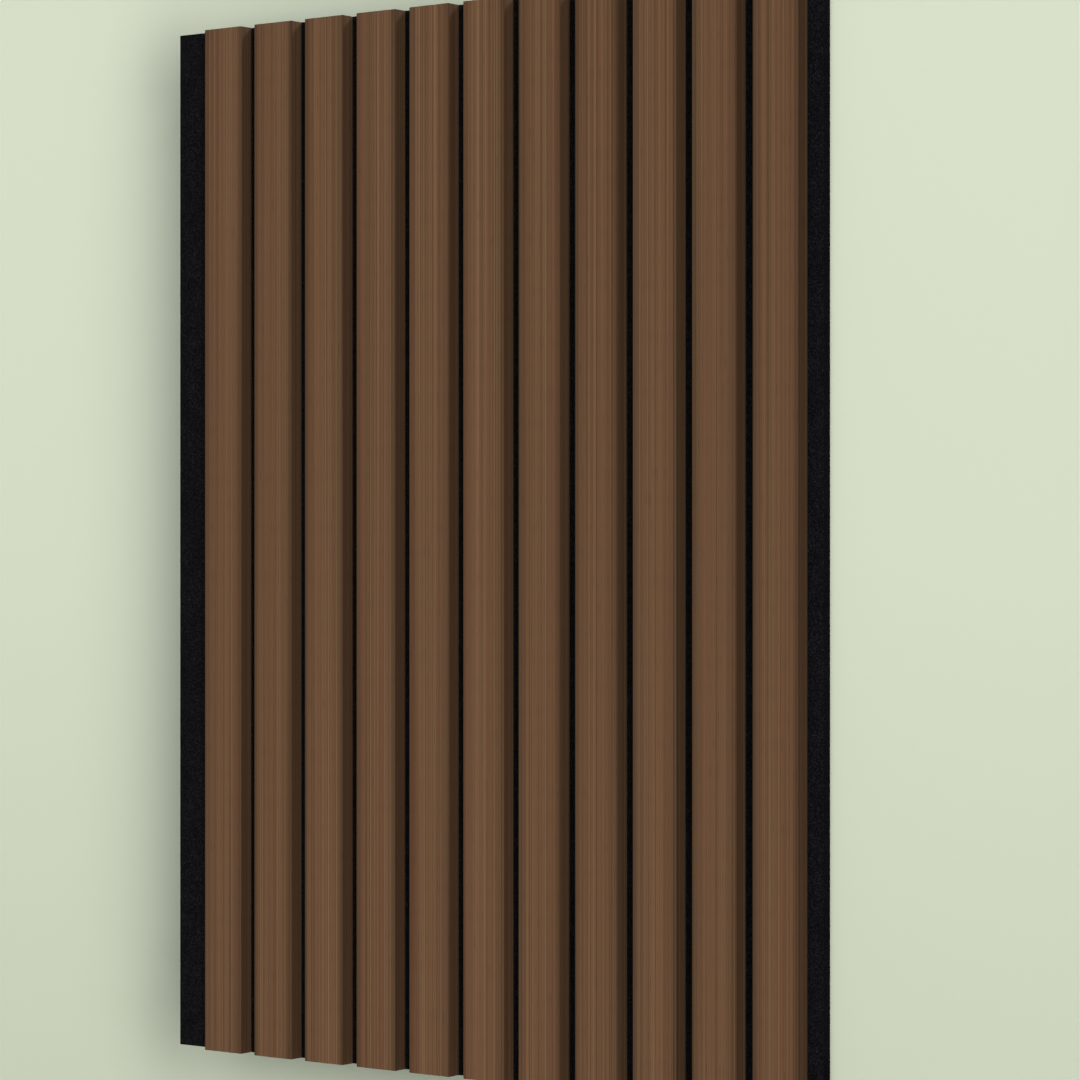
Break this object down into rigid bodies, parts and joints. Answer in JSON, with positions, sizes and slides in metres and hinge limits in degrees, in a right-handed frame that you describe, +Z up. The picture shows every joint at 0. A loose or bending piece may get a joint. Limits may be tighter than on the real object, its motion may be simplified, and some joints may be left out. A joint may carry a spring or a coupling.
{
  "type": "slat wall panel",
  "caption": "Decorative wall panel of upright wood-faced slats, evenly spaced on a flat black felt board that is fixed against a wall.",
  "frame": {"origin": "middle of the felt board's flat back, on the wall plane", "axes": "+Z up along the slats, +Y from the panel into the wall, so the slats face -Y, and +X to the right as seen from the room"},
  "size_m": [0.6, 0.021, 0.8],
  "materials": {
    "felt": "matt pressed fibre",
    "slat_wood": "satin, straight fine grain",
    "staple_steel": "bright zinc coat"
  },
  "bodies": {
    "root": {"felt_backing": "felt", "slat_01": "slat_wood", "slat_02": "slat_wood", "slat_03": "slat_wood", "slat_04": "slat_wood", "slat_05": "slat_wood", "slat_06": "slat_wood", "slat_07": "slat_wood", "slat_08": "slat_wood", "slat_09": "slat_wood", "slat_10": "slat_wood", "slat_11": "slat_wood", "staples": "staple_steel"}
  },
  "joints": []
}
